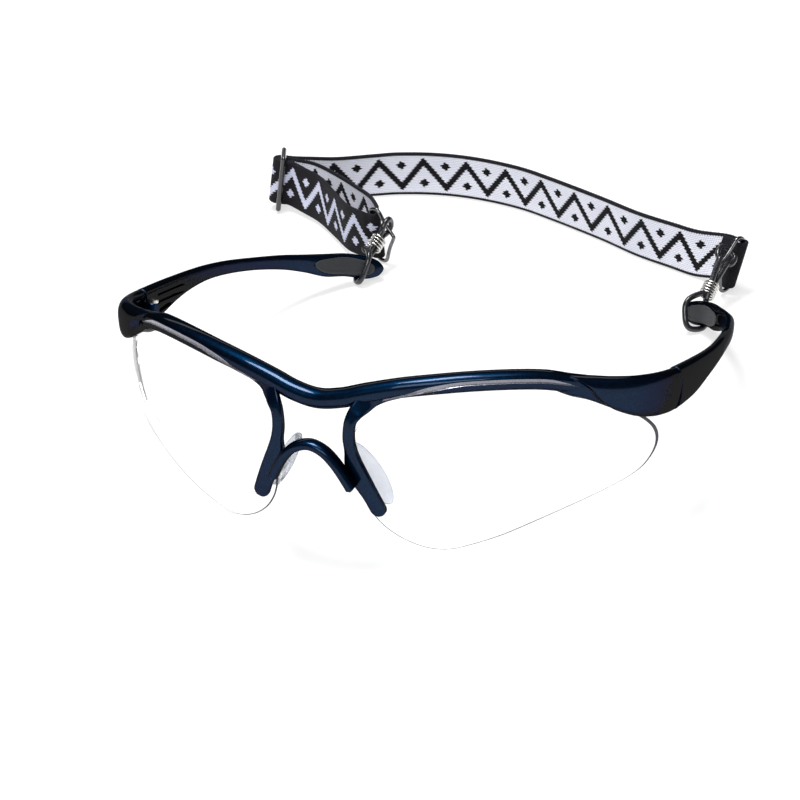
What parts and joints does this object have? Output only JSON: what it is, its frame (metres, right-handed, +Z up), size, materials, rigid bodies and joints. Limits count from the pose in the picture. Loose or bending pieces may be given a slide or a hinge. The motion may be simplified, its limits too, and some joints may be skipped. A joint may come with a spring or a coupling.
{
  "type": "sports eye guard",
  "caption": "Racket-sport eye guard: clear wrap lenses on a navy brow frame with folding side arms, silicone nose pads and an elastic strap with adjuster.",
  "frame": {"origin": "on the table under the middle of the object's bounding box", "axes": "+Z up, -Y where the wearer looks, side arms and strap towards +Y, the wearer's right at -X seen from behind the lenses"},
  "size_m": [0.1754, 0.2054, 0.0465],
  "materials": {
    "frame": "glossy metallic navy lacquer",
    "lens": "clear polycarbonate",
    "silicone": "clear soft silicone",
    "steel": "bright steel",
    "grip": "matt",
    "cord": "shiny",
    "wire": "dark plated wire",
    "slider": "glossy black",
    "webbing_dark": "knitted elastic, dark outer face",
    "webbing_light": "knitted elastic, pale inner face"
  },
  "bodies": {
    "front": {"front_frame": "frame", "lens_left": "lens", "lens_right": "lens", "nose_pad_left": "silicone", "nose_pad_right": "silicone", "hinge_screw_left": "steel", "hinge_screw_right": "steel", "strap_main": "webbing_light"},
    "left_arm": {"temple_left": "frame", "temple_grip_left": "grip", "rubber_loop_left": "cord", "cinch_coil_left": "steel", "strap_ring_left": "wire", "strap_slider": "slider", "strap_loop": "webbing_dark"},
    "right_arm": {"temple_right": "frame", "temple_grip_right": "grip", "rubber_loop_right": "cord", "cinch_coil_right": "steel", "strap_ring_right": "wire"}
  },
  "joints": [
    {"name": "left_fold", "type": "hinge", "parent": "front", "child": "left_arm", "pos_m": [-0.05639, -0.04967, 0.03049], "axis": [0, -0.3007, -0.9537], "range_deg": [0, 88], "deforming": ["strap_main"]},
    {"name": "right_fold", "type": "hinge", "parent": "front", "child": "right_arm", "pos_m": [0.08101, -0.04967, 0.03049], "axis": [0, 0.3007, 0.9537], "range_deg": [0, 70], "deforming": ["strap_main"]}
  ]
}
